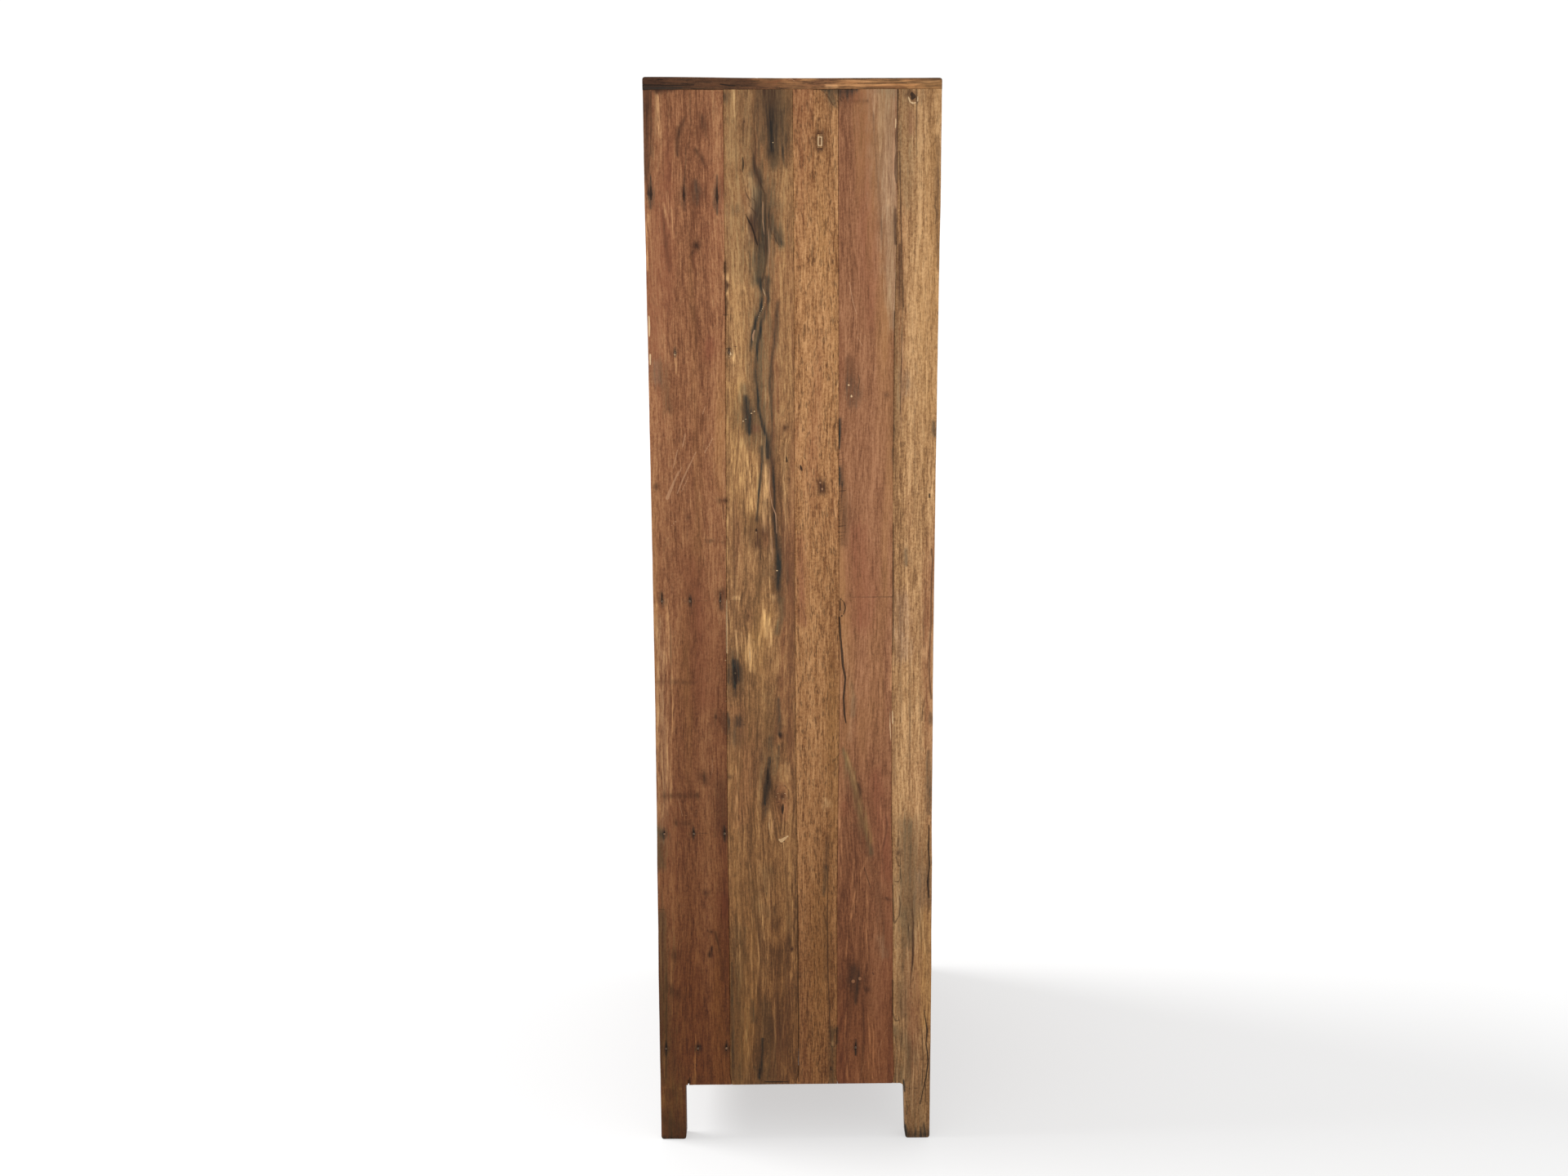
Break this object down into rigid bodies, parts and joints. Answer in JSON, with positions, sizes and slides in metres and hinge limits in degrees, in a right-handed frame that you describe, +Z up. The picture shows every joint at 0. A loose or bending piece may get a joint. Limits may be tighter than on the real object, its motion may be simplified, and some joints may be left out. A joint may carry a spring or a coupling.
{
  "type": "open shelf unit",
  "caption": "Tall free-standing open shelf unit in reclaimed boards, with solid sides cut out to feet, housed shelves, a closed back and a thin top with end cleats.",
  "frame": {"origin": "on the floor, at the middle of the unit's width and depth", "axes": "+Z up, the open front faces -Y, +X is the side on the right of someone who faces the front"},
  "size_m": [0.7, 0.45, 1.709],
  "materials": {
    "dark_wood": "waxed, dark brown to orange brown",
    "nail_iron": "forged, dark with old rust",
    "olive_wood": "planed and waxed, golden olive brown, iron stained",
    "pale_wood": "planed and waxed, straight pale golden grain",
    "rosy_wood": "planed and waxed, smooth pinkish brown",
    "russet_wood": "planed and waxed, reddish brown, worn",
    "tan_wood": "planed and waxed, tan with short dark pores"
  },
  "bodies": {
    "root": {"back_board_1": "tan_wood", "back_board_2": "pale_wood", "back_board_3": "olive_wood", "back_board_4": "rosy_wood", "back_board_5": "russet_wood", "back_board_6": "tan_wood", "back_board_7": "pale_wood", "back_nails": "nail_iron", "back_rail": "tan_wood", "bottom_shelf_plank_1": "olive_wood", "bottom_shelf_plank_2": "tan_wood", "bottom_shelf_plank_3": "rosy_wood", "front_apron": "russet_wood", "left_side_board_1": "pale_wood", "left_side_board_2": "rosy_wood", "left_side_board_3": "olive_wood", "left_side_board_4": "tan_wood", "left_side_board_5": "russet_wood", "left_side_nails": "nail_iron", "lower_shelf_plank_1": "rosy_wood", "lower_shelf_plank_2": "pale_wood", "lower_shelf_plank_3": "russet_wood", "middle_shelf_plank_1": "russet_wood", "middle_shelf_plank_2": "olive_wood", "middle_shelf_plank_3": "tan_wood", "right_side_board_1": "russet_wood", "right_side_board_2": "olive_wood", "right_side_board_3": "tan_wood", "right_side_board_4": "rosy_wood", "right_side_board_5": "pale_wood", "right_side_nails": "nail_iron", "right_side_patch": "pale_wood", "top_left_cleat": "dark_wood", "top_nails": "nail_iron", "top_plank_1": "dark_wood", "top_plank_2": "olive_wood", "top_plank_3": "russet_wood", "top_right_cleat": "dark_wood", "upper_shelf_plank_1": "tan_wood", "upper_shelf_plank_2": "rosy_wood", "upper_shelf_plank_3": "pale_wood"}
  },
  "joints": []
}
